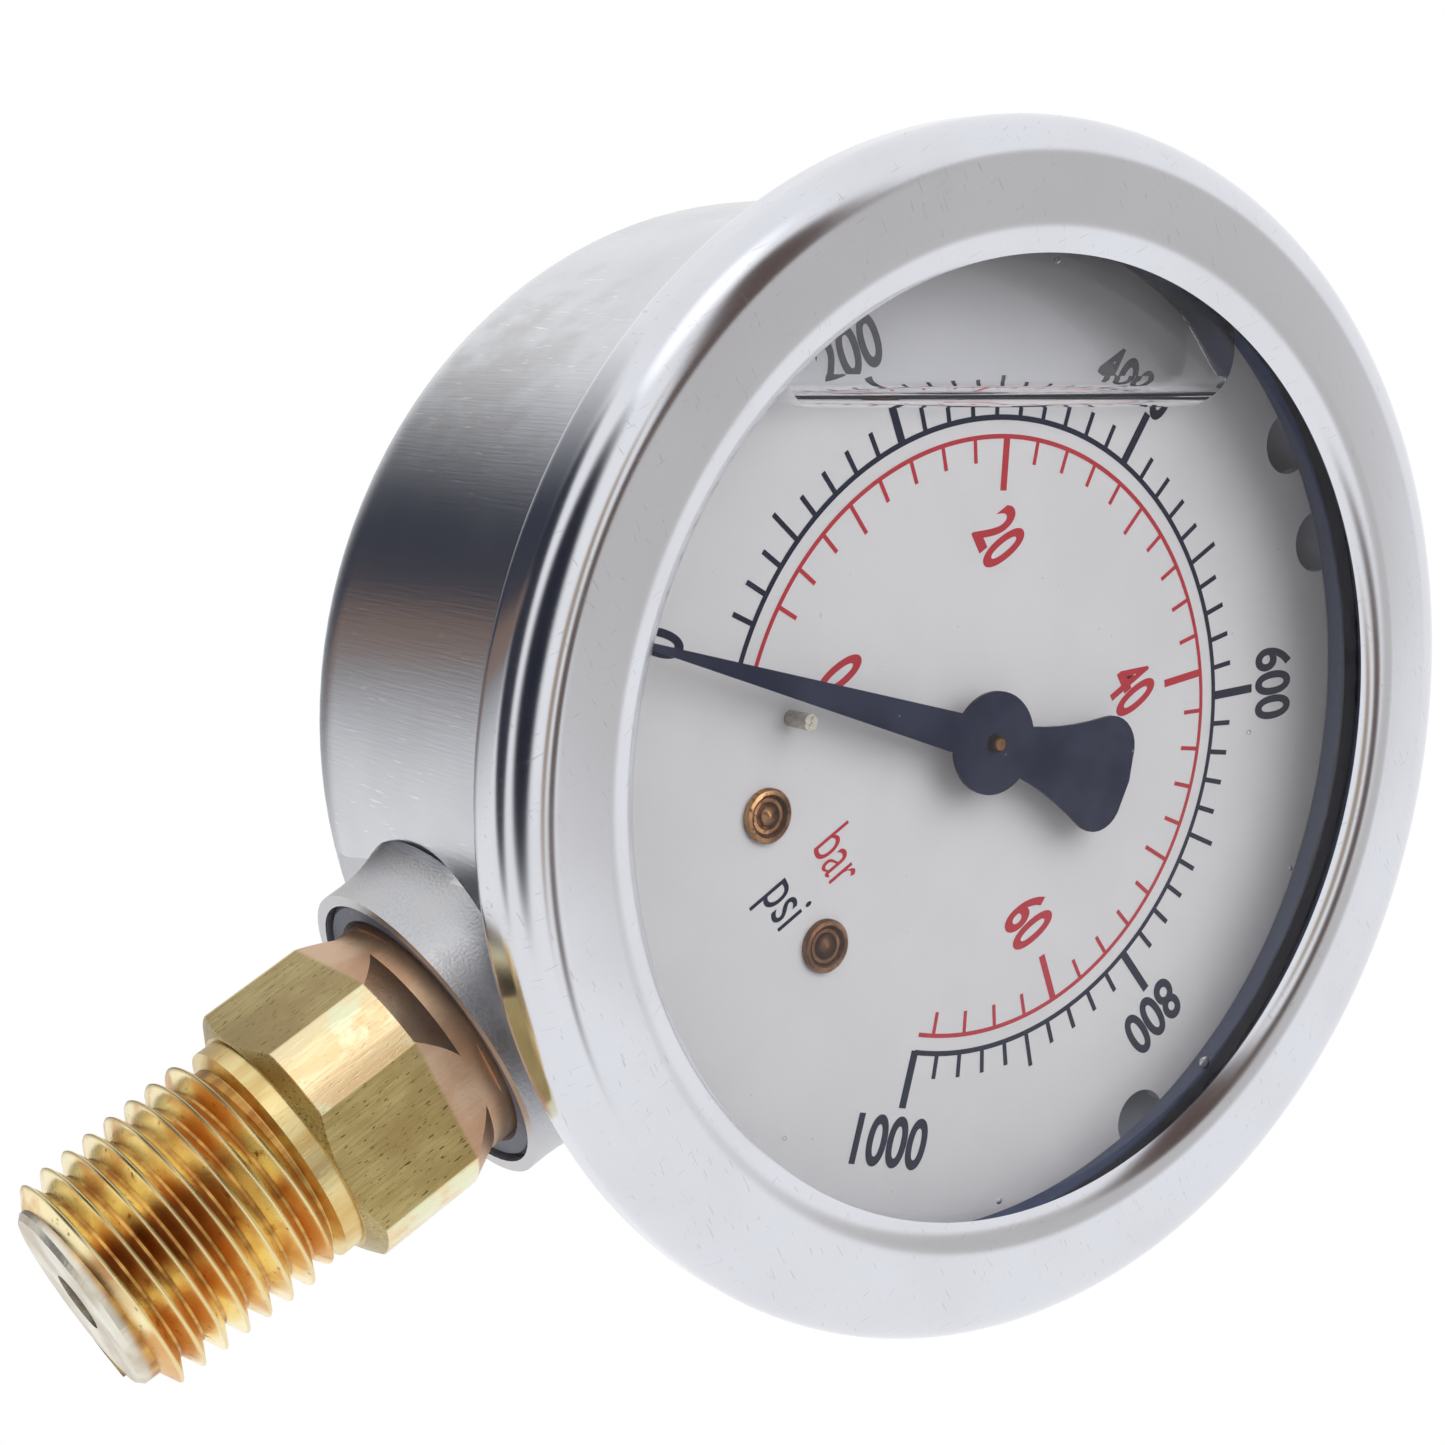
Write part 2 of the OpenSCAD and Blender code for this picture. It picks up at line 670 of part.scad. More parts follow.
module socket() {
    bar_r = bar_d / 2;
    taper = spigot_l / 32;
    // Lengths of the bevels at the two ends of the milled bar
    low_bevel = 0.7;
    high_bevel = 1.9;
    color("goldenrod") difference() {
        union() {
            // Tapered spigot, turned shoulder, milled bar, neck and flange
            rotate_extrude() polygon([[0, 0], [spigot_d / 2 - 0.3, 0], [spigot_d / 2, 0.3],
                [spigot_d / 2 + taper, spigot_l], [shoulder_d / 2, spigot_l + 0.3],
                [shoulder_d / 2, flats_low], [shoulder_d / 2 + 0.2, flats_low],
                [bar_r, flats_low + low_bevel], [bar_r, flats_high - high_bevel],
                [neck_r, flats_high], [neck_r, flange_low], [collar_ri - 2 * gap, flange_low],
                [collar_ri - 2 * gap, flange_high], [-plate_back, flange_high],
                [-plate_back, block_low + 0.3], [0, block_low + 0.3]]);
            // Block inside the case, with a tongue behind the movement's front plate
            translate([-block_w / 2, plate_back, block_low])
                cube([block_w, block_back - plate_back, block_high - block_low]);
            translate([-block_w / 2, plate_back, block_low])
                cube([block_w, tongue_t, tongue_high - block_low]);
        }
        // Wrench flats, milled up to the collar's rim
        for (a = [0, 90, 180, 270]) rotate(a) translate([flats_w / 2, -bar_d, flats_low])
            cube([bar_d, 2 * bar_d, collar_rim - flats_low]);
        translate([0, 0, -over]) cylinder(d = port_d, h = port_l + over);
        cylinder(d = bore_d, h = dial_height - tube_r);
        tube_sweep(root_angle + root_seat, root_angle - root_seat)
            flat_oval(tube_w + braze, tube_t + braze);
        translate([-port_d, 0, dial_height + (tube_r + 0.3) * sin(root_angle + root_seat)])
            rotate([0, 90, 0]) cylinder(r = cross_r, h = 2 * port_d, center = true);
        for (x = [-dial_screw_x, dial_screw_x])
            translate([x, plate_back - over, dial_height - dial_screw_drop]) rotate([-90, 0, 0])
                cylinder(d = dial_screw_d, h = tongue_t + 2 * over);
    }
}

module socket_seal() {
    ro = collar_ri - run_fit;
    low = collar_rim + 0.3;
    color("darkslategray") rotate_extrude() polygon([[neck_r, low + 0.3],
        [neck_r + 0.3, low], [ro - 0.3, low], [ro, low + 0.3], [ro, flange_low],
        [neck_r, flange_low]]);
}

module restrictor() {
    color("darkkhaki") translate([0, 0, restrictor_low]) difference() {
        cylinder(d = bore_d, h = restrictor_l);
        translate([0, 0, -over]) cylinder(d = restrictor_hole_d, h = restrictor_l + 2 * over);
    }
}

// Rubber plug in the filling hole: a stem with a tapered end, under a domed head
module fill_plug() {
    top = dial_height + case_r;
    stem_r = fill_hole_d / 2;
    head_r = stem_r + plug_brim;
    color("dimgray") translate([0, fill_hole_back, 0]) rotate_extrude()
        polygon([[0, top - plug_stem], [stem_r - plug_taper, top - plug_stem],
            [stem_r, top - plug_stem + plug_taper], [stem_r, top], [head_r, top],
            [head_r, top + plug_head - plug_taper], [head_r - plug_taper, top + plug_head],
            [0, top + plug_head]]);
}

case();
bezel();
window();
window_gasket();
dial();
dial_screws();
stop_pin();
pointer();
pointer_hub();
pinion_arbor();
spring_collet();
hairspring();
spring_stud();
front_plate();
back_plate();
pillars();
plate_screws();
sector_gear();
sector_shaft();
link();
link_screw();
bourdon_tube();
tube_tip();
tip_pin();
socket();
socket_seal();
restrictor();
fill_plug();
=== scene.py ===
# Looks of the liquid-filled pressure gauge: finishes, dial print, thread, filling and studio.
import json
import math

import bmesh
import bpy
from mathutils import Matrix, Vector


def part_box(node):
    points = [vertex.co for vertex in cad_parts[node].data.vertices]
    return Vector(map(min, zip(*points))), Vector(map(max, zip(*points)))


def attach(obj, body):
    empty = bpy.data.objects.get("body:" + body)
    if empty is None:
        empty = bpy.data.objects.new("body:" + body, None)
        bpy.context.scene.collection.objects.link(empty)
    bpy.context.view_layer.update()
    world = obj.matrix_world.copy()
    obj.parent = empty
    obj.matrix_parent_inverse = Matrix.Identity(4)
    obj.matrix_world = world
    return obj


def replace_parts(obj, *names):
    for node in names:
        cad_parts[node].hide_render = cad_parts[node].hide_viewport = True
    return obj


MM = 0.001


def linear(code, alpha=1.0):
    """A colour written as sRGB hex, as the renderer's linear values."""
    values = [int(code[i : i + 2], 16) / 255 for i in (1, 3, 5)]
    return [v / 12.92 if v <= 0.04045 else ((v + 0.055) / 1.055) ** 2.4 for v in values] + [alpha]


def add(tree, kind, inputs=None, **settings):
    """Adds one node; an input is a value or the output socket that feeds it."""
    made = tree.nodes.new(kind)
    for name, value in settings.items():
        setattr(made, name, value)
    for name, value in (inputs or {}).items():
        if isinstance(value, bpy.types.NodeSocket):
            tree.links.new(value, made.inputs[name])
        else:
            made.inputs[name].default_value = value
    return made


def new_material(name):
    made = bpy.data.materials.new(name)
    made.use_nodes = True
    made.node_tree.nodes.clear()
    return made, made.node_tree


def finish_material(tree, shader):
    add(tree, "ShaderNodeOutputMaterial", {"Surface": shader.outputs[0]})


def in_millimetres(tree, centre=(0.0, 0.0, 0.0)):
    """Places on the piece in millimetres, counted from a centre that is given in millimetres."""
    where = add(tree, "ShaderNodeTexCoord")
    return add(tree, "ShaderNodeMapping", {"Vector": where.outputs["Object"],
        "Scale": (1000, 1000, 1000), "Location": [-c for c in centre]}).outputs[0]


def uneven(tree, place, stretch, edges, levels=(0.0, 1.0), detail=3.0):
    """A value that wanders between two levels; stretch is how many times per millimetre."""
    pulled = add(tree, "ShaderNodeMapping", {"Vector": place, "Scale": stretch})
    cloud = add(tree, "ShaderNodeTexNoise", {"Vector": pulled.outputs[0], "Scale": 1.0,
        "Detail": detail})
    return between(tree, cloud.outputs[0], edges, levels)


def between(tree, value, edges, levels=(0.0, 1.0)):
    """Carries a value from one range to another, with a soft start and end."""
    return add(tree, "ShaderNodeMapRange", {"Value": value, "From Min": edges[0],
        "From Max": edges[1], "To Min": levels[0], "To Max": levels[1]},
        interpolation_type="SMOOTHSTEP").outputs[0]


def two_tones(tree, share, first, second):
    """A colour between two tones, each an sRGB hex value or another mixed tone."""
    tones = [linear(tone) if isinstance(tone, str) else tone for tone in (first, second)]
    return add(tree, "ShaderNodeMix", {0: share, 6: tones[0], 7: tones[1]},
        data_type="RGBA").outputs[2]


def distance_from_axis(tree, place, keep):
    """Distance from an axis through the centre; keep is 1 for each direction across the axis."""
    across = add(tree, "ShaderNodeMapping", {"Vector": place, "Scale": keep})
    return add(tree, "ShaderNodeVectorMath", {0: across.outputs[0]}, operation="LENGTH").outputs[1]


def relief(tree, height, depth):
    """Fine relief; depth is in millimetres."""
    return add(tree, "ShaderNodeBump", {"Height": height, "Distance": depth * MM,
        "Strength": 1.0}).outputs[0]


def coated(tree, **inputs):
    """The surface shader, with its own name for each input."""
    finish_material(tree, add(tree, "ShaderNodeBsdfPrincipled",
        {name.replace("_", " "): value for name, value in inputs.items()}))


def see_through(name, colour, ior):
    """Clear stuff that lets the lamps' light reach what is behind it."""
    made, tree = new_material(name)
    body = add(tree, "ShaderNodeBsdfPrincipled", {"Base Color": linear(colour),
        "Roughness": 0.0, "IOR": ior, "Transmission Weight": 1.0})
    gap = add(tree, "ShaderNodeBsdfTransparent", {"Color": linear(colour)})
    path = add(tree, "ShaderNodeLightPath")
    mixed = add(tree, "ShaderNodeMixShader", {"Fac": path.outputs["Is Shadow Ray"]})
    tree.links.new(body.outputs[0], mixed.inputs[1])
    tree.links.new(gap.outputs[0], mixed.inputs[2])
    finish_material(tree, mixed)
    return made


def mesh_piece(name, bm, material, body, smooth=None):
    """A finished piece from a bmesh, riding on its body."""
    data = bpy.data.meshes.new(name)
    bm.to_mesh(data)
    bm.free()
    piece = bpy.data.objects.new(name, data)
    bpy.context.scene.collection.objects.link(piece)
    data.materials.append(material)
    if smooth is not None:
        shade(piece, smooth)
    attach(piece, body)
    return piece


def shade(piece, angle):
    """Smooth shading, with edges sharper than the angle in degrees kept sharp."""
    data = piece.data
    data.polygons.foreach_set("use_smooth", [True] * len(data.polygons))
    bm = bmesh.new()
    bm.from_mesh(data)
    for edge in bm.edges:
        edge.smooth = len(edge.link_faces) == 2 and edge.calc_face_angle() < math.radians(angle)
    bm.to_mesh(data)
    bm.free()


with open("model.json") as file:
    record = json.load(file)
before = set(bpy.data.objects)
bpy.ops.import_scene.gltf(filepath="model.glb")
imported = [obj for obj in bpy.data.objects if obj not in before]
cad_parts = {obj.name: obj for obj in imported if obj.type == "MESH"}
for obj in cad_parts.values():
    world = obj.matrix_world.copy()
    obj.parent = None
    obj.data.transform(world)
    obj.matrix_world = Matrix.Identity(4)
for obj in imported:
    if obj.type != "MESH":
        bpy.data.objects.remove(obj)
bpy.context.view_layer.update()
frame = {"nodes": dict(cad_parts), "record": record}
body_of_node = {n: b for b, nodes in frame["record"]["behaviour"]["bodies"].items() for n in nodes}

# Places of the frame that the finishes, the print and the filling are worked out from
bezel_low, bezel_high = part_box("bezel")
DIAL_Z = (bezel_low.z + bezel_high.z) / 2
DIAL_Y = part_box("dial")[0].y
GLASS_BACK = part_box("window")[1].y
DIAL_MM = (0.0, DIAL_Y / MM, DIAL_Z / MM)

# Heights on the stem and its milled radius, in millimetres, where one finish gives way to the next
END_FACE = (0.9, 0.4)
SPIGOT_TOP = (12.35, 12.2)
LAND_TOP = (13.75, 13.65)
NECK_START = (20.5, 20.8)
BAR_SKIN = (8.0, 8.07)
# The pipe thread: its pitch, how much the radius grows with height, and its crest at the end
PITCH = 25.4 / 18 * MM
TAPER = 1 / 32
THREAD_ROOT, THREAD_CREST = 5.35, 6.6
# Degrees by which the pointer is pressed on past the zero mark
POINTER_SET = 2.0
# Under the filling a surface shines far less than in air, hence the low index of what lies in it
WET = 1.1


def finished(node, material, angle, turn=0.0):
    """The node's own shape with its corners merged and its curves shaded smooth."""
    source = frame["nodes"][node]
    bm = bmesh.new()
    bm.from_mesh(source.data)
    bmesh.ops.remove_doubles(bm, verts=bm.verts, dist=0.000002)
    bmesh.ops.rotate(bm, verts=bm.verts, cent=(0, 0, DIAL_Z),
        matrix=Matrix.Rotation(math.radians(turn), 3, "Y"))
    piece = mesh_piece(node + "_finished", bm, material, body_of_node[node],
        angle)
    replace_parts(piece, node)
    return piece


# ---- finishes
def polished_stainless():
    """Stainless steel sheet, spun and polished: bright, with faint rings and handling scratches."""
    made, tree = new_material("polished_stainless_steel")
    place = in_millimetres(tree, DIAL_MM)
    radius = distance_from_axis(tree, place, (1, 0, 1))
    depth = add(tree, "ShaderNodeSeparateXYZ", {0: place}).outputs[1]
    rings = add(tree, "ShaderNodeCombineXYZ", {0: radius, 1: depth}).outputs[0]
    # Polishing rings are finer than this; 0.2 mm is the closest that shows
    ring = uneven(tree, rings, (5, 5, 1), (0.3, 0.7))
    handling_and_reflection_side = uneven(tree, place, (0.12, 0.12, 0.12), (0.3, 0.8))
    scratch = uneven(tree, place, (9, 0.8, 0.7), (0.7, 0.76), detail=1.0)
    rub = uneven(tree, place, (0.9, 2.0, 7), (0.7, 0.76), detail=1.0)
    marks = add(tree, "ShaderNodeMath", {0: scratch, 1: rub}, operation="MAXIMUM").outputs[0]
    tone = two_tones(tree, handling_and_reflection_side, "#dddfe6", "#d8d9df")
    roughness = add(tree, "ShaderNodeMath", {0: between(tree, handling_and_reflection_side, (0, 1), (0.15, 0.18)),
        1: between(tree, marks, (0, 1), (0.0, 0.06))}, operation="ADD").outputs[0]
    coated(tree, Base_Color=two_tones(tree, marks, tone, "#cfd0d5"), Metallic=1.0,
        Roughness=roughness, Normal=relief(tree, ring, 0.0003))
    return made


def drawn_stainless():
    """Deep-drawn stainless sheet: half bright, with drawing lines along its depth and one darker,
    duller warm-grey patch low on its left side.
    """
    made, tree = new_material("drawn_stainless_steel")
    place = in_millimetres(tree, DIAL_MM)
    lines = uneven(tree, place, (6, 0.25, 6), (0.3, 0.7))
    cloud = uneven(tree, place, (0.12, 0.12, 0.12), (0.3, 0.8))
    nicks = uneven(tree, place, (7, 0.5, 7), (0.7, 0.76), detail=1.0)
    # A darker, duller warm-grey patch some 10 mm across, with a ragged edge, at one spot low on the
    # left of the wall
    away = add(tree, "ShaderNodeVectorMath", {0: place, 1: (-28.0, 12.0, -10.5)},
        operation="DISTANCE").outputs[1]
    ragged = add(tree, "ShaderNodeMath", {0: away,
        1: uneven(tree, place, (0.6, 0.35, 0.6), (0.2, 0.8), (-4.0, 4.0))}, operation="ADD").outputs[0]
    warm_dark_patch = between(tree, ragged, (0.0, 10.0), (0.4, 0.0))
    tone = two_tones(tree, cloud, "#d3d5da", "#cccdd2")
    tone = two_tones(tree, warm_dark_patch, tone, "#a5a09a")
    roughness = add(tree, "ShaderNodeMath", {0: between(tree, cloud, (0, 1), (0.22, 0.27)),
        1: between(tree, warm_dark_patch, (0, 1), (0.0, 0.15))}, operation="ADD").outputs[0]
    coated(tree, Base_Color=two_tones(tree, nicks, tone, "#e4e5e8"), Metallic=1.0,
        Roughness=roughness, Normal=relief(tree, lines, 0.002))
    return made


def blasted_stainless():
    """Stainless steel left matt round the drawn collar: an even grain that softens every light."""
    made, tree = new_material("satin_stainless_steel")
    place = in_millimetres(tree)
    # The grain is some 0.05 mm; it is drawn at 0.15 mm so that it shows
    grain = uneven(tree, place, (6, 6, 6), (0.25, 0.75), detail=2.0)
    cloud = uneven(tree, place, (0.3, 0.3, 0.3), (0.35, 0.65))
    tone = two_tones(tree, grain, "#b9babf", "#cbccd0")
    coated(tree, Base_Color=two_tones(tree, cloud, tone, "#c6c5c6"), Metallic=1.0,
        Roughness=between(tree, grain, (0, 1), (0.3, 0.4)), Normal=relief(tree, grain, 0.006))
    return made


def painted_light_inside():
    """The unpolished inside of the case, wet with the filling: dull, and painted a pale blue-grey that
    stands for the bluish light seen in it, since little light reaches there.
    """
    made, tree = new_material("inside_steel_painted_light")
    place = in_millimetres(tree, DIAL_MM)
    cloud = uneven(tree, place, (0.3, 0.3, 0.3), (0.3, 0.7))
    # Painted light: a pale blue-grey, lighter than steel, in place of the light that hardly reaches the
    # inside
    coated(tree, Base_Color=two_tones(tree, cloud, "#cad0e2", "#b6bcd0"), IOR=1.1,
        Roughness=between(tree, cloud, (0, 1), (0.4, 0.6)))
    return made


def stem_brass():
    """Brass bar, milled on its flats and left from the lathe elsewhere, dulled by handling."""
    made, tree = new_material("milled_brass")
    place = in_millimetres(tree)
    radius = distance_from_axis(tree, place, (1, 1, 0))
    height = add(tree, "ShaderNodeSeparateXYZ", {0: place}).outputs[2]
    # Cutter marks 0.2 mm apart run along the flats, broken by short dark tears
    streak = uneven(tree, place, (4.5, 4.5, 0.5), (0.3, 0.7))
    tears = uneven(tree, place, (7, 7, 1.6), (0.64, 0.72), detail=1.0)
    cloud = uneven(tree, place, (0.25, 0.25, 0.25), (0.35, 0.65))
    stain = uneven(tree, place, (0.8, 0.8, 0.14), (0.35, 0.7))
    flat = two_tones(tree, streak, "#a8955f", "#bfab78")
    flat = two_tones(tree, cloud, flat, "#a28d5c")
    flat = two_tones(tree, tears, flat, "#5f5134")
    # The round corners kept the bar's bright skin, with a rainbow of thin oxide
    corner = two_tones(tree, stain, "#efdfb4", "#e6c596")
    corner = two_tones(tree, uneven(tree, place, (0.4, 0.4, 0.4), (0.5, 0.62)), corner, "#e8e8c2")
    tone = two_tones(tree, between(tree, radius, BAR_SKIN), flat, corner)
    # Turned land and end below the flats, turned bevel and neck above them
    land = two_tones(tree, stain, "#ecd9a0", "#d9b877")
    tone = two_tones(tree, between(tree, height, LAND_TOP), tone, land)
    neck = two_tones(tree, cloud, "#dcbea0", "#caa282")
    tone = two_tones(tree, between(tree, height, NECK_START), tone, neck)
    end = two_tones(tree, cloud, "#ece8da", "#c2b49c")
    # Spigot: brown in the roots, pale on its end face
    root = two_tones(tree, stain, "#d9ac62", "#9a6432")
    tone = two_tones(tree, between(tree, height, SPIGOT_TOP), tone, root)
    tone = two_tones(tree, between(tree, height, END_FACE), tone, end)
    roughness = add(tree, "ShaderNodeMath", {0: between(tree, radius, BAR_SKIN, (0.33, 0.22)),
        1: between(tree, height, NECK_START, (0.0, 0.06))}, operation="ADD").outputs[0]
    rough_skin = add(tree, "ShaderNodeMath", {0: streak, 1: tears}, operation="SUBTRACT").outputs[0]
    coated(tree, Base_Color=tone, Metallic=1.0, Roughness=roughness,
        Normal=relief(tree, rough_skin, 0.006))
    return made


def thread_brass():
    """Die-cut brass thread: golden flanks with brown tarnish spots, a brown reflection painted along
    one side, and crests paler than the flanks.
    """
    made, tree = new_material("thread_brass")
    place = in_millimetres(tree)
    radius = distance_from_axis(tree, place, (1, 1, 0))
    height = add(tree, "ShaderNodeSeparateXYZ", {0: place}).outputs[2]
    # The crest stands out by 1 in 32 more with each millimetre of height
    level = add(tree, "ShaderNodeMath", {0: height, 1: -TAPER, 2: radius},
        operation="MULTIPLY_ADD").outputs[0]
    stain = uneven(tree, place, (0.22, 0.22, 0.3), (0.42, 0.62))
    # Painted reflection: a brown band painted along one side of the thread, patchy and weaker towards
    # the flats
    handling_and_reflection_side = add(tree, "ShaderNodeVectorMath", {0: place, 1: (-0.47, -0.883, 0.0)},
        operation="DOT_PRODUCT").outputs[1]
    aside = add(tree, "ShaderNodeMath", {0: handling_and_reflection_side, 1: radius}, operation="DIVIDE").outputs[0]
    painted_brown_reflection = between(tree, aside, (0.93, 0.995))
    patchy = uneven(tree, place, (0.3, 0.3, 0.3), (0.3, 0.6), (0.45, 1.0))
    fading = between(tree, height, (12.0, 5.0))
    painted_brown_reflection = add(tree, "ShaderNodeMath", {0: painted_brown_reflection, 1: patchy}, operation="MULTIPLY").outputs[0]
    painted_brown_reflection = add(tree, "ShaderNodeMath", {0: painted_brown_reflection, 1: fading}, operation="MULTIPLY").outputs[0]
    spots = uneven(tree, place, (1.6, 1.6, 1.6), (0.62, 0.74))
    flank = two_tones(tree, stain, "#fff0be", "#e3b26e")
    flank = two_tones(tree, spots, flank, "#b07c48")
    flank = two_tones(tree, painted_brown_reflection, flank, "#b98a55")
    crest = (THREAD_CREST - 0.16, THREAD_CREST - 0.02)
    tone = two_tones(tree, between(tree, level, crest), flank, "#ecd9a4")
    coated(tree, Base_Color=tone, Metallic=1.0,
        Roughness=between(tree, stain, (0, 1), (0.26, 0.36)), Normal=relief(tree, spots, 0.004))
    return made


def worked_metal(name, light, dark, roughness, grain=(3, 3, 3)):
    """Small turned or stamped metal pieces: an even tone with faint tool marks and a dull cloud."""
    made, tree = new_material(name)
    place = in_millimetres(tree)
    marks = uneven(tree, place, grain, (0.3, 0.7))
    cloud = uneven(tree, place, (0.4, 0.4, 0.4), (0.35, 0.65))
    tone = two_tones(tree, cloud, light, dark)
    coated(tree, Base_Color=two_tones(tree, between(tree, marks, (0.6, 1.0)), tone, dark),
        Metallic=1.0, Roughness=between(tree, cloud, (0, 1), (roughness, roughness + 0.1)),
        Normal=relief(tree, marks, 0.002))
    return made


def painted(name, base, fleck, roughness, size, share, depth=0.002, tone_size=0.2, ior=1.5):
    """Enamel, ink, lacquer or rubber: one tone that drifts a little, with fine flecks."""
    made, tree = new_material(name)
    place = in_millimetres(tree)
    drift = uneven(tree, place, (tone_size,) * 3, (0.3, 0.7))
    specks = uneven(tree, place, (size,) * 3, (share, share + 0.03), detail=1.0)
    skin = uneven(tree, place, (2.5, 2.5, 2.5), (0.2, 0.8))
    colour = two_tones(tree, between(tree, drift, (0, 1), (0.0, 0.12)), base, fleck)
    coated(tree, Base_Color=two_tones(tree, specks, colour, fleck), IOR=ior,
        Roughness=between(tree, drift, (0, 1), (roughness, roughness + 0.08)),
        Normal=relief(tree, skin, depth))
    return made


brass = stem_brass()
# Brass turned from bar: brown gold with darker rings, bright where the tool left it
screw_brass = worked_metal("turned_brass", "#b58a62", "#6d4a34", 0.24)
# Brass stamped from sheet: yellow and half matt, with its rolling marks along it
plate_brass = worked_metal("stamped_brass", "#bd9c5c", "#9a7a42", 0.34, (1, 4, 4))
# Nickel silver, turned or pressed: a warm grey that shines softly
nickel = worked_metal("nickel_silver", "#b5b0a6", "#8f897e", 0.26)
# Phosphor bronze, drawn and rolled: reddish, with a dull cloud of heat
bronze = worked_metal("phosphor_bronze", "#b17a48", "#7f5230", 0.28)
# Baked enamel on aluminium: almost white, smooth, with a few grains of dust
enamel = painted("white_enamel", "#dedde0", "#c9c9ca", 0.4, 2.2, 0.8, ior=WET)
# Screen-printed ink lies flat and matt
black_ink = painted("black_ink", "#181e36", "#2c3349", 0.5, 3.0, 0.75, ior=WET)
red_ink = painted("red_ink", "#b9333f", "#c4505a", 0.5, 3.0, 0.75, ior=WET)
# Lacquer on aluminium, with dust settled on it
lacquer = painted("black_lacquer", "#141b38", "#70768a", 0.32, 1.5, 0.77, ior=WET)
# Moulded nitrile rubber: nearly black and matt
rubber = painted("moulded_rubber", "#1d1d21", "#2f2e31", 0.5, 2.0, 0.75, 0.004)
# Moulded nitrile rubber that stands out at the stem: greyed, with fine grit on it
seal = painted("seal_rubber", "#5b637a", "#7b8398", 0.42, 1.4, 0.72, 0.006)
# Clear sheet glass, and clear glycerine that fits the glass so closely that their join hides
glass = see_through("window_glass", "#ffffff", 1.48)
oil = see_through("glycerine", "#fafbfd", 1.47)


def wetted_rubber():
    """Moulded rubber inside the filling: near black by the window, and painted blue-grey towards the
    dial as the shaded gap at the dial's edge.
    """
    made, tree = new_material("wetted_rubber")
    place = in_millimetres(tree, DIAL_MM)
    depth = add(tree, "ShaderNodeSeparateXYZ", {0: place}).outputs[1]
    skin = uneven(tree, place, (2.5, 2.5, 2.5), (0.2, 0.8))
    drift = uneven(tree, place, (0.3, 0.3, 0.3), (0.2, 0.8), (-0.2, 0.2))
    wavy = add(tree, "ShaderNodeMath", {0: drift, 1: depth}, operation="ADD").outputs[0]
    # Painted shade: towards the dial the rubber is painted blue-grey, standing for the shaded gap at
    # the dial's edge
    tone = two_tones(tree, between(tree, wavy, (-2.9, -2.1)), "#333337", "#515b7c")
    mottled = two_tones(tree, between(tree, skin, (0.5, 1.0), (0.0, 0.3)), tone, "#464a5a")
    coated(tree, Base_Color=mottled, Roughness=between(tree, skin, (0, 1), (0.5, 0.6)), IOR=WET,
        Normal=relief(tree, skin, 0.004))
    return made


def unseen_join():
    """The face of the filling that lies in the glass: nothing shows there."""
    made, tree = new_material("glycerine_on_glass")
    finish_material(tree, add(tree, "ShaderNodeBsdfTransparent"))
    return made


# Where the filling wets the window, light passes with hardly any bend or glint
wet_glass = see_through("wetted_glass", "#ffffff", 1.48 / 1.47)

FINISHES = {
    "case": drawn_stainless(), "dial": enamel, "stop_pin": nickel, "pointer_hub": screw_brass,
    "pinion_arbor": screw_brass, "window_gasket": wetted_rubber(), "socket": brass,
    "socket_seal": seal, "fill_plug": rubber, "window": glass, "restrictor": nickel,
    "spring_collet": plate_brass, "hairspring": bronze, "spring_stud": plate_brass,
    "front_plate": plate_brass, "back_plate": plate_brass, "pillars": plate_brass,
    "plate_screws": screw_brass, "sector_gear": plate_brass, "sector_shaft": nickel,
    "link": nickel, "link_screw": screw_brass, "bourdon_tube": bronze, "tube_tip": plate_brass,
    "tip_pin": screw_brass,
}
# Degrees above which an edge stays sharp: most pieces, then the socket's bevels and the pointer
SHARP, VERY_SHARP = 30, 20
for node, material in FINISHES.items():
    finished(node, material, VERY_SHARP if node == "socket" else SHARP)

# The pointer is pressed on by hand, a little past the zero mark
finished("pointer", lacquer, VERY_SHARP, POINTER_SET)

window = bpy.data.objects["window_finished"]
window.data.materials.append(wet_glass)
for face in window.data.polygons:
    if face.normal.y > 0.9:
        face.material_index = 1

# The case is polished outside, matt on its collar and unpolished inside
case = bpy.data.objects["case_finished"]
case.data.materials.append(blasted_stainless())
case.data.materials.append(painted_light_inside())
COLLAR_TOP, COLLAR_REACH, CASE_INSIDE = 27.6 * MM, 12.5 * MM, 30.4 * MM
for face in case.data.polygons:
    middle = face.center
    out = Vector((middle.x, 0, middle.z - DIAL_Z))
    inner_wall = out.length < CASE_INSIDE and face.normal.dot(out) < 0
    inner_back = middle.y > 0 and face.normal.y < -0.5
    if middle.z < COLLAR_TOP and math.hypot(middle.x, middle.y) < COLLAR_REACH:
        face.material_index = 1
    elif inner_wall or inner_back:
        face.material_index = 2

# ---- dial print
# The print's centre and plane, the angles of its zero and its swing, and the turn of its letters
PRINT_SHIFT = Vector((0.5, 0.0, 0.54)) * MM
PRINT_Y = DIAL_Y - 0.02 * MM
ZERO = 227.6
SWING = 270.0
TURN = ZERO - 225


def on_dial(angle, radius):
    a = math.radians(angle)
    return Vector((radius * math.cos(a), 0, radius * math.sin(a))) * MM


def dial_matrix(angle, radius, turn):
    """Places a flat shape drawn in X and Z, turned by the given angle as seen from the front."""
    spot = Vector((0, PRINT_Y, DIAL_Z)) + PRINT_SHIFT + on_dial(angle, radius)
    return Matrix.Translation(spot) @ Matrix.Rotation(math.radians(-turn), 4, "Y")


FLAT = Matrix.Rotation(math.radians(90), 4, "X")


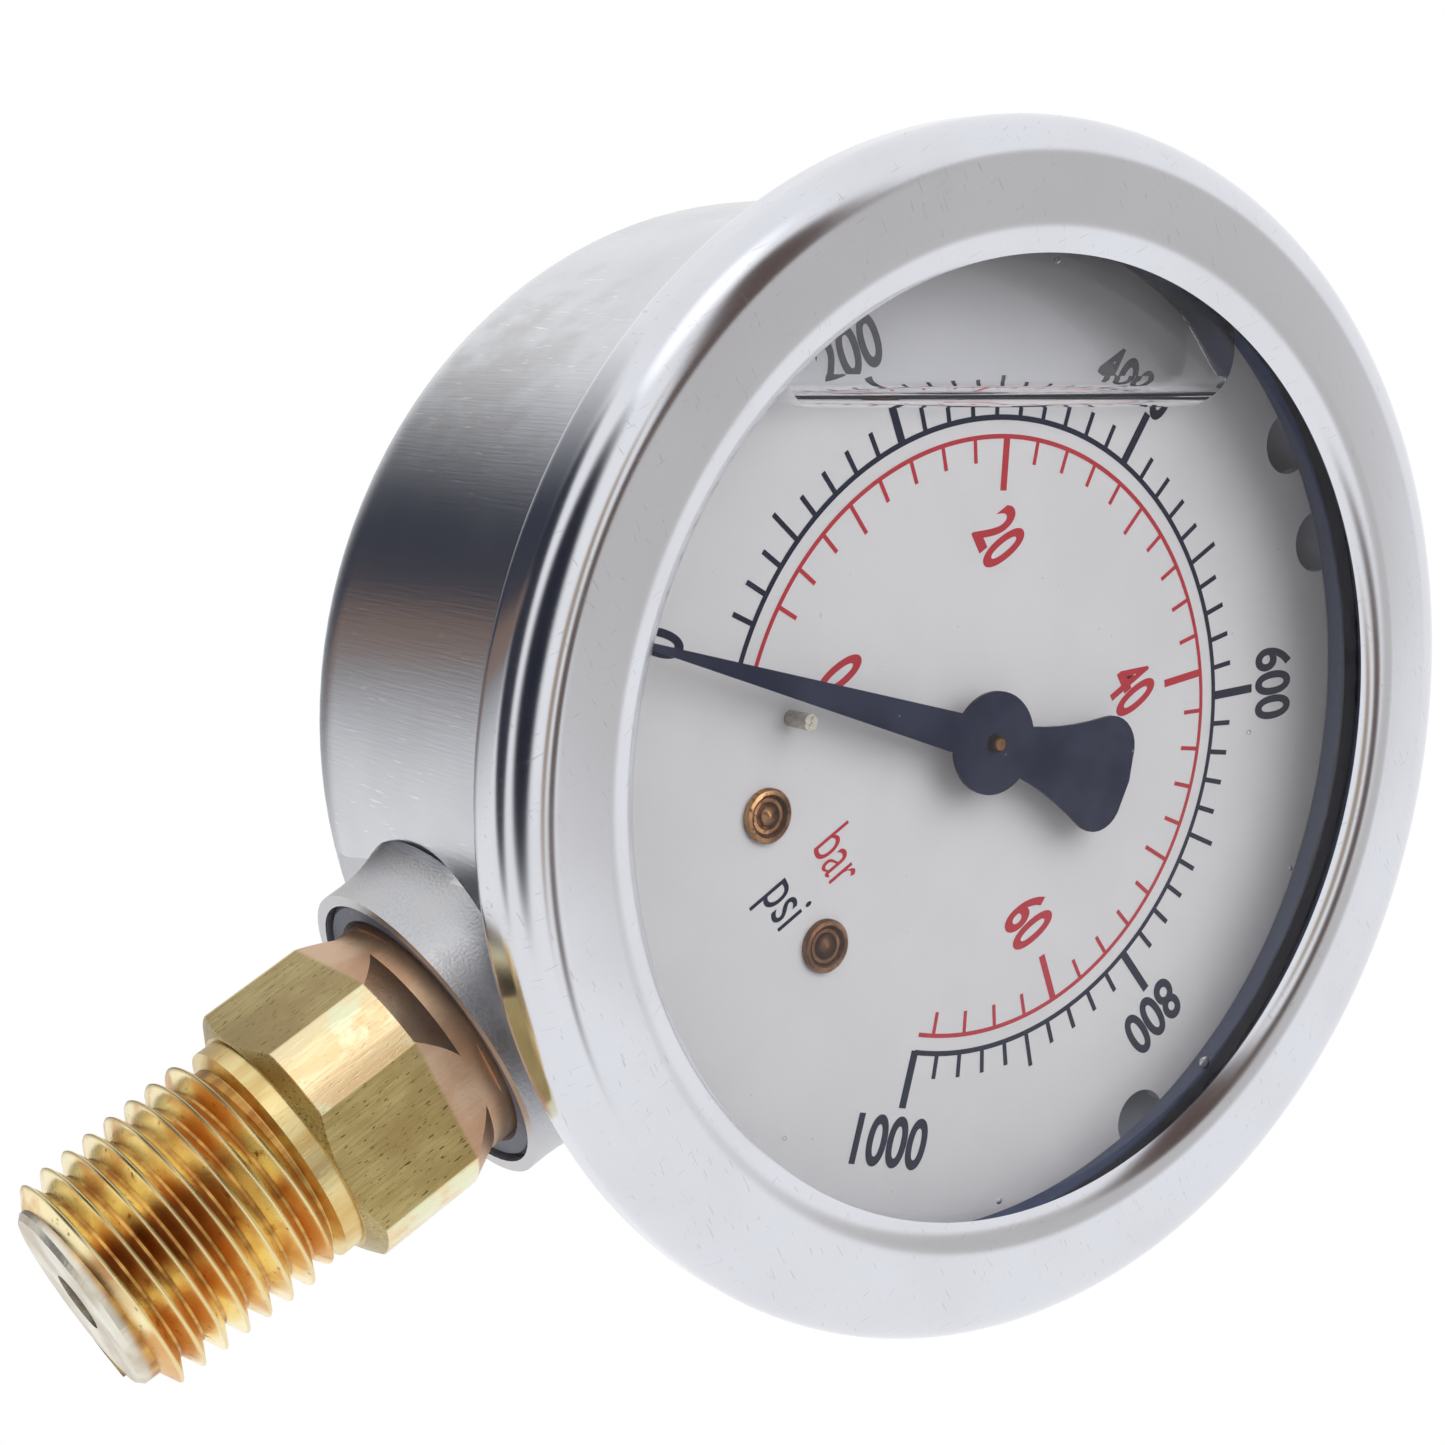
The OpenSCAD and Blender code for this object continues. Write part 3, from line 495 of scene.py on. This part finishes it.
def bar(bm, angle, inner, outer, width):
    """One printed line along a radius."""
    size = Matrix.Diagonal(((outer - inner) * MM, 1, width * MM, 1))
    bmesh.ops.create_grid(bm, x_segments=1, y_segments=1, size=0.5,
        matrix=dial_matrix(angle, (inner + outer) / 2, angle) @ size @ FLAT)


def arc(bm, radius, width, start, end, steps=180):
    """A printed arc from one angle to another."""
    ends = [bm.verts.new(dial_matrix(start, radius + s * width / 2, 0).translation) for s in (-1, 1)]
    edge = bm.edges.new(ends)
    bmesh.ops.spin(bm, geom=ends + [edge], cent=Vector((0, PRINT_Y, DIAL_Z)) + PRINT_SHIFT,
        axis=(0, 1, 0), angle=math.radians(start - end), steps=steps)


def label(bm, text, angle, radius, turn, height, squeeze, weight=0.0):
    """Printed figures or letters, centred on a point of the dial."""
    curve = bpy.data.curves.new("label", "FONT")
    curve.body, curve.align_x, curve.align_y = text, "CENTER", "CENTER"
    curve.offset = weight
    holder = bpy.data.objects.new("label", curve)
    bpy.context.scene.collection.objects.link(holder)
    bpy.context.view_layer.update()
    flat = bpy.data.meshes.new_from_object(holder.evaluated_get(bpy.context.evaluated_depsgraph_get()))
    flat.transform(Matrix.Diagonal((height * squeeze * MM, height * MM, 1, 1)))
    flat.transform(dial_matrix(angle, radius, turn) @ FLAT)
    bm.from_mesh(flat)
    bpy.data.objects.remove(holder)
    bpy.data.meshes.remove(flat)


def face_front(bm):
    for face in bm.faces:
        face.normal_update()
        if face.normal.y > 0:
            face.normal_flip()


PSI_ARC, BAR_ARC = 18.22, 17.17
PSI_TOP, BAR_TOP = 1000, 68.95
# The lines start under the resting pointer, which hides the place of the first mark
START = 223.6
# Each figure: what it says, its angle and radius on the dial
PSI_FIGURES = (("0", 224.2, 23.4), ("200", 175.1, 23.6), ("400", 122.3, 22.8), ("600", 65.8, 23.2),
    ("800", 10.0, 23.2))
BAR_FIGURES = (("0", 219.2, 11.7), ("20", 150.2, 11.45), ("40", 72.6, 11.35), ("60", -9.6, 11.7))
# Height of the figures, their narrowing and the weight added to their strokes
PSI_TYPE = (4.1, 0.74, 0.026)
BAR_TYPE = (4.5, 0.6, 0.026)
# Lengths of the lines with a figure, of those halfway and of the rest; then their widths
PSI_LINES, PSI_WIDTHS = (3.3, 2.2, 1.5), (0.52, 0.3, 0.3)
BAR_LINES, BAR_WIDTHS = (3.0, 2.0, 1.4), (0.46, 0.25, 0.25)


def rank(value, figured, halfway):
    """0 for a line with a figure, 1 for a line halfway, 2 for the rest."""
    return 0 if value % figured == 0 else 1 if value % halfway == 0 else 2


black, red = bmesh.new(), bmesh.new()
arc(black, PSI_ARC, 0.31, START, ZERO - SWING)
arc(red, BAR_ARC, 0.26, START, ZERO - SWING)
for value in range(40, PSI_TOP + 1, 20):
    where, kind = ZERO - SWING * value / PSI_TOP, rank(value, 200, 100)
    bar(black, where, PSI_ARC - 0.1, PSI_ARC + PSI_LINES[kind], PSI_WIDTHS[kind])
for value in range(4, 69, 2):
    where, kind = ZERO - SWING * value / BAR_TOP, rank(value, 20, 10)
    bar(red, where, BAR_ARC - BAR_LINES[kind], BAR_ARC, BAR_WIDTHS[kind])
for text, angle, radius in PSI_FIGURES:
    label(black, text, angle, radius, angle - 90, *PSI_TYPE)
# The last figure reads along the swing's end, so it stands the other way up
label(black, "1000", -43.8, 23.7, -43.0 + 90, *PSI_TYPE)
for text, angle, radius in BAR_FIGURES:
    label(red, text, angle, radius, TURN, *BAR_TYPE)
label(red, "bar", -90.2, 11.8, TURN, 4.1, 0.58, -0.004)
label(black, "psi", -89.6, 15.9, TURN, 4.1, 0.6, 0.0)
for bm, name, ink in ((black, "scale_print_black", black_ink), (red, "scale_print_red", red_ink)):
    face_front(bm)
    mesh_piece(name, bm, ink, "housing")

# ---- bezel: one sheet rolled round the window, the front corner and the case's rim
def turned(name, outline, material, body, smooth, steps=240):
    """A closed outline of radius and depth in millimetres, turned about the dial's axis."""
    centre = Vector((0, 0, DIAL_Z))
    bm = bmesh.new()
    verts = [bm.verts.new(centre + Vector((r * MM, y * MM, 0))) for r, y in outline]
    edges = [bm.edges.new(pair) for pair in zip(verts, verts[1:] + verts[:1])]
    bmesh.ops.spin(bm, geom=verts + edges, cent=centre, axis=(0, 1, 0), angle=2 * math.pi,
        steps=steps, use_merge=True)
    bmesh.ops.recalc_face_normals(bm, faces=bm.faces)
    return mesh_piece(name, bm, material, body, smooth)


def rounding(radius, y, size, first, last, steps=12):
    """Points round a centre; 0 degrees is forward and 90 degrees is outward."""
    turns = [math.radians(first + (last - first) * i / steps) for i in range(steps + 1)]
    return [(radius + size * math.sin(a), y - size * math.cos(a)) for a in turns]


BEZEL_R = (bezel_high.x - bezel_low.x) / 2 / MM
FACE, BACK = bezel_low.y / MM, bezel_high.y / MM
# The sheet and its rolls, in millimetres: front corner, back curl and the lip on the window
SHEET, FRONT_ROLL, BACK_CURL, LIP = 0.8, 2.4, 1.4, 3.1
# The face's width from the outside to the lip's edge, and the degrees that the lip turns in
RIM, LIP_TURN = 7.2, 40
LIP_CENTRE = BEZEL_R - RIM + LIP * math.sin(math.radians(LIP_TURN))
# Radius where the sheet ends behind the case's rim
FOOT = 32.0
outline = rounding(LIP_CENTRE, FACE + LIP, LIP, -LIP_TURN, 0, 20)
outline += rounding(BEZEL_R - FRONT_ROLL, FACE + FRONT_ROLL, FRONT_ROLL, 0, 90, 20)
outline += rounding(BEZEL_R - BACK_CURL, BACK - BACK_CURL, BACK_CURL, 90, 180)
outline += [(FOOT, BACK), (FOOT, BACK - SHEET)]
outline += rounding(BEZEL_R - BACK_CURL, BACK - BACK_CURL, BACK_CURL - SHEET, 180, 90)
outline += rounding(BEZEL_R - FRONT_ROLL, FACE + FRONT_ROLL, FRONT_ROLL - SHEET, 90, 0, 20)
outline += rounding(LIP_CENTRE, FACE + LIP, LIP - SHEET, 0, -LIP_TURN, 20)
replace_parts(turned("bezel_ring", outline, polished_stainless(), "housing", 50),
    "bezel")

# ---- dial screws: a domed middle in a ring groove
screw_low, screw_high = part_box("dial_screws")
SCREW_PLACES = ((-4.4, -14.3), (4.4, -14.3))
SCREW_HEAD, SCREW_SHANK = 1.53, 0.98
SCREW_OUTLINE = ((0.0, 0.0), (0.16, 0.08), (0.45, 0.14), (0.68, 0.3), (0.78, 0.46), (0.98, 0.46),
    (1.06, 0.24), (1.2, 0.14), (1.42, 0.18), (SCREW_HEAD, 0.34))
bm = bmesh.new()
for x, z in SCREW_PLACES:
    centre = Vector((x * MM, 0, DIAL_Z + z * MM))
    rows = [(r * MM, screw_low.y + h * MM) for r, h in SCREW_OUTLINE]
    rows += [(SCREW_HEAD * MM, DIAL_Y), (SCREW_SHANK * MM, DIAL_Y), (SCREW_SHANK * MM, screw_high.y),
        (0.0, screw_high.y)]
    verts = [bm.verts.new(centre + Vector((r, y, 0))) for r, y in rows]
    edges = [bm.edges.new(pair) for pair in zip(verts, verts[1:])]
    bmesh.ops.spin(bm, geom=verts + edges, cent=centre, axis=(0, 1, 0), angle=2 * math.pi,
        steps=48, use_merge=True)
bmesh.ops.remove_doubles(bm, verts=bm.verts, dist=0.000002)
bmesh.ops.recalc_face_normals(bm, faces=bm.faces)
heads = mesh_piece("dial_screw_heads", bm, screw_brass, "housing", 40)
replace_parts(heads, "dial_screws")

# ---- filling liquid with its air space
# The way up while the gauge lies on its side, and how far the level is from the dial's middle
LEVEL_UP = Vector((-0.8745, 0.0237, 0.4843))
LEVEL = 18.55 * MM
# Radii of the air space and of the filling, and the roundings of the air space's floor
AIR_RADIUS, FILLING_RADIUS = 28.7 * MM, 29.1 * MM
CLIMB, END_CLIMB = 1.9 * MM, 3.2 * MM
FILM = 0.15 * MM
# Degrees between the facets of a rounding
FACET = 9
# Bubbles that cling to the rubber and the dial: angle, radius, depth and size
BUBBLES = ((12, 28.3, -11.2, 0.42), (40, 27.9, -9.6, 0.2), (-24, 27.6, -10.5, 0.22),
    (58, 22.0, -8.7, 0.16), (140, 27.2, -9.0, 0.2), (300, 25.0, -8.7, 0.15))


def round_body(bm, radius, front, back):
    """A closed cylinder about the dial's axis; returns its corners."""
    return bmesh.ops.create_cone(bm, cap_ends=True, segments=160, radius1=radius, radius2=radius,
        depth=back - front, matrix=Matrix.Translation((0, (front + back) / 2, DIAL_Z)) @ FLAT)["verts"]


def trim(bm, place, out):
    """Cuts away what lies beyond a plane and closes the cut."""
    cut = bmesh.ops.bisect_plane(bm, geom=bm.verts[:] + bm.edges[:] + bm.faces[:], clear_outer=True,
        plane_co=place, plane_no=out)
    rim = [g for g in cut["geom_cut"] if isinstance(g, bmesh.types.BMEdge)]
    if rim:
        bmesh.ops.contextual_create(bm, geom=rim)


# The liquid climbs the window, the dial and the rubber, so the air space has a rounded floor
air = bmesh.new()
air_front, air_back = GLASS_BACK + FILM, DIAL_Y - FILM
round_body(air, AIR_RADIUS, air_front, air_back)
ALONG = LEVEL_UP.cross(Vector((0, 1, 0))).normalized()
DEEP = LEVEL_UP.cross(ALONG).normalized()
DEEP *= math.copysign(1, DEEP.y)
centre = Vector((0, DIAL_Y, DIAL_Z))
trim(air, centre + LEVEL_UP * LEVEL, -LEVEL_UP)
for side, wall in ((-1, air_front), (1, air_back)):
    hub = centre + LEVEL_UP * (LEVEL + CLIMB) + DEEP * (wall - DIAL_Y - side * CLIMB)
    for tilt in range(8, 90, FACET):
        a = math.radians(tilt)
        out = -LEVEL_UP * math.cos(a) + DEEP * side * math.sin(a)
        trim(air, hub + out * CLIMB, out)
reach = math.sqrt((AIR_RADIUS - END_CLIMB) ** 2 - (LEVEL + END_CLIMB) ** 2)
for side in (-1, 1):
    hub = centre + LEVEL_UP * (LEVEL + END_CLIMB) + ALONG * side * reach
    for tilt in range(8, 140, FACET):
        a = math.radians(tilt)
        out = -LEVEL_UP * math.cos(a) + ALONG * side * math.sin(a)
        trim(air, hub + out * END_CLIMB, out)
bmesh.ops.recalc_face_normals(air, faces=air.faces)
for angle, radius, y, size in BUBBLES:
    spot = Vector((0, y * MM, DIAL_Z)) + on_dial(angle, radius)
    bmesh.ops.create_icosphere(air, subdivisions=2, radius=size * MM, matrix=Matrix.Translation(spot))
bmesh.ops.reverse_faces(air, faces=air.faces)
# The filling reaches 0.2 mm into the rubber, so that no film of air shines between them
round_body(air, FILLING_RADIUS, GLASS_BACK - 0.02 * MM, DIAL_Y + 0.05 * MM)
filling = mesh_piece("filling_liquid", air, oil, "housing", 25)
filling.data.materials.append(unseen_join())
for face in filling.data.polygons:
    # The wide faces are flat, so their corners don't bend the view
    face.use_smooth = face.use_smooth and face.area < 15 * MM * MM
    if face.center.y < GLASS_BACK:
        face.material_index = 1

# ---- pipe thread wound on the plain spigot
def pipe_thread():
    """A tapered ridge with a rounded crest, wound up the spigot and run out at both ends."""
    root, crest, flank = THREAD_ROOT, THREAD_CREST, THREAD_ROOT + 0.25
    # Turns of the ridge, steps in a turn and the height of its start
    turns, steps, start = 8.35, 96, 0.55
    outline = ((root, -0.68), (flank, -0.58), (crest - 0.22, -0.17), (crest - 0.06, -0.09),
        (crest, 0.0), (crest - 0.06, 0.09), (crest - 0.22, 0.17), (flank, 0.58), (root, 0.68))
    bm = bmesh.new()
    verts = [bm.verts.new((r * MM, 0, (start + h) * MM)) for r, h in outline]
    edges = [bm.edges.new(pair) for pair in zip(verts, verts[1:])]
    bmesh.ops.spin(bm, geom=verts + edges, cent=(0, 0, 0), axis=(0, 0, 1),
        dvec=(0, 0, PITCH / steps), angle=2 * math.pi * turns, steps=int(steps * turns))
    bmesh.ops.remove_doubles(bm, verts=bm.verts, dist=0.000001)
    low = root * MM
    for vert in bm.verts:
        radius = math.hypot(vert.co.x, vert.co.y)
        along = math.atan2(vert.co.y, vert.co.x) / (2 * math.pi)
        turn = along + round((vert.co.z - start * MM) / PITCH - along)
        # The ridge rises in its first half turn and runs out in its last
        ramp = max(0.0, min(1.0, turn / 0.45, (turns - turn) / 0.6))
        scale = (low + (radius - low) * ramp + TAPER * vert.co.z) / radius
        vert.co.x *= scale
        vert.co.y *= scale
    bmesh.ops.recalc_face_normals(bm, faces=bm.faces)
    mesh_piece("pipe_thread", bm, thread_brass(), "housing", 50)


pipe_thread()

# ---- studio
scene = bpy.context.scene
scene.view_settings.view_transform = "Standard"
world = bpy.data.worlds.new("studio")
scene.world = world
world.use_nodes = True
tree = world.node_tree
tree.nodes.clear()
path = add(tree, "ShaderNodeLightPath")
seen = add(tree, "ShaderNodeMath", {0: path.outputs["Is Camera Ray"], 1: path.outputs["Is Glossy Ray"]},
    operation="MAXIMUM")
seen = add(tree, "ShaderNodeMath", {0: seen.outputs[0], 1: path.outputs["Is Transmission Ray"]},
    operation="MAXIMUM")
# A white background where it is seen or mirrored, and half of that as soft light
level = add(tree, "ShaderNodeMapRange", {"Value": seen.outputs[0], "To Min": 0.5, "To Max": 1.0})
sky = add(tree, "ShaderNodeBackground", {"Color": linear("#ffffff"), "Strength": level.outputs[0]})
add(tree, "ShaderNodeOutputWorld", {"Surface": sky.outputs[0]})


def stage_piece(name, bm, material):
    data = bpy.data.meshes.new(name)
    bm.to_mesh(data)
    bm.free()
    data.materials.append(material)
    piece = bpy.data.objects.new(name, data)
    scene.collection.objects.link(piece)
    return piece


# The floor lies a little below the stem; seen by the camera it is lifted towards white
FLOOR_Z, FLOOR_LIFT = -0.015, 0.4
bm = bmesh.new()
bmesh.ops.create_grid(bm, x_segments=1, y_segments=1, size=2.0,
    matrix=Matrix.Translation((0, 0, FLOOR_Z)))
paper, tree = new_material("pale_paper")
shade_kept = add(tree, "ShaderNodeBsdfDiffuse", {"Color": linear("#f4f4f4")})
lift = add(tree, "ShaderNodeEmission", {"Color": linear("#ffffff"), "Strength": FLOOR_LIFT})
both = add(tree, "ShaderNodeAddShader")
tree.links.new(shade_kept.outputs[0], both.inputs[0])
tree.links.new(lift.outputs[0], both.inputs[1])
path = add(tree, "ShaderNodeLightPath")
shown = add(tree, "ShaderNodeMixShader", {"Fac": path.outputs["Is Camera Ray"]})
tree.links.new(shade_kept.outputs[0], shown.inputs[1])
tree.links.new(both.outputs[0], shown.inputs[2])
finish_material(tree, shown)
floor = stage_piece("floor", bm, paper)
floor.visible_glossy = False

MIDDLE = Vector((0, 0, 0.045))


def lamp(name, direction, distance, size, power):
    """A round soft lamp turned towards the object, which no metal mirrors."""
    light = bpy.data.lights.new(name, "AREA")
    light.shape, light.size, light.energy = "DISK", size, power
    holder = bpy.data.objects.new(name, light)
    holder.visible_glossy = False
    scene.collection.objects.link(holder)
    spot = MIDDLE + Vector(direction).normalized() * distance
    turned_in = (MIDDLE - spot).to_track_quat("-Z", "Y").to_matrix().to_4x4()
    holder.matrix_world = Matrix.Translation(spot) @ turned_in


lamp("softbox", (-0.18, -0.86, 0.46), distance=0.7, size=0.6, power=1.7)


def card(name, direction, along, length, width, colour, softness=0.4, strength=1.0, reach=0.8):
    """A studio card that only the metal mirrors, with a soft edge; its sizes are in degrees."""
    made, tree = new_material(name)
    where = add(tree, "ShaderNodeTexCoord")
    spread = add(tree, "ShaderNodeVectorMath", {0: where.outputs["Object"]}, operation="LENGTH")
    edge = between(tree, spread.outputs[1], (1.0 - softness, 1.0))
    shine = add(tree, "ShaderNodeEmission", {"Color": linear(colour), "Strength": strength})
    clear = add(tree, "ShaderNodeBsdfTransparent")
    mixed = add(tree, "ShaderNodeMixShader", {"Fac": edge})
    tree.links.new(shine.outputs[0], mixed.inputs[1])
    tree.links.new(clear.outputs[0], mixed.inputs[2])
    finish_material(tree, mixed)
    bm = bmesh.new()
    bmesh.ops.create_circle(bm, cap_ends=True, segments=48, radius=1.0)
    held = stage_piece(name, bm, made)
    away = Vector(direction).normalized()
    aside = away.cross(Vector(along)).normalized()
    ahead = aside.cross(away)
    long = ahead * reach * math.tan(math.radians(length / 2))
    wide = aside * reach * math.tan(math.radians(width / 2))
    held.matrix_world = Matrix.Translation(MIDDLE + away * reach) @ Matrix(
        (long, wide, away)).transposed().to_4x4()
    held.visible_camera = held.visible_diffuse = held.visible_shadow = False
    held.visible_transmission = False


# Dark cards behind, beside and below put the dark bands on the case and on the bezel's rolls
card("slate_card_behind", (-0.43, 0.85, -0.24), (0.37, 0.02, -0.81), 60, 120, "#3c3f4a", 0.85)
card("copper_card_behind", (-0.34, 0.855, -0.40), (0.37, 0.02, -0.81), 10, 70, "#8a7468", 0.6,
    reach=0.7)
card("navy_card_left", (-0.55, -0.52, -0.65), (0.7, 0, -0.7), 84, 56, "#252733", 0.45)
card("amber_card", (-0.06, -0.99, -0.09), (0.72, 0, -0.69), 60, 14, "#a08c74", 0.6, reach=0.75)
card("umber_card", (0.17, -0.965, 0.15), (0.72, 0, -0.69), 60, 20, "#5f5048", 0.6, reach=0.7)
card("warm_grey_card", (0.22, -0.79, 0.57), (1, 0, 0), 44, 44, "#cfccc9", 0.4)
card("brown_card", (-0.25, -0.84, 0.45), (1, 0, 0), 64, 26, "#5b4a44", 0.5, reach=0.75)
card("slate_card_below", (-0.6, 0.4, -0.69), (0.7, 0, -0.7), 84, 46, "#33353f", 0.45)
card("white_card", (-0.87, -0.45, 0.2), (0, 0, 1), 40, 40, "#ffffff", 0.6, strength=1.5)

# ---- camera
camera_data = bpy.data.cameras.new("camera")
camera = bpy.data.objects.new("camera", camera_data)
scene.collection.objects.link(camera)
SENSOR, LENS = 36, 58.61
camera_data.sensor_width = SENSOR
camera_data.lens = LENS
camera_data.shift_x, camera_data.shift_y = 0.1594, 0.0396
camera_data.clip_start = 0.005
# Which way the view's right side, its top and its depth point
RIGHT = Vector((0.403199, -0.519396, 0.753431))
UP = Vector((-0.819659, 0.161135, 0.549723))
AHEAD = Vector((0.406928, 0.839204, 0.360758))
camera.matrix_world = Matrix.Translation((-0.063397, -0.109576, -0.012975)) @ Matrix(
    (RIGHT, UP, -AHEAD)).transposed().to_4x4()
scene.camera = camera
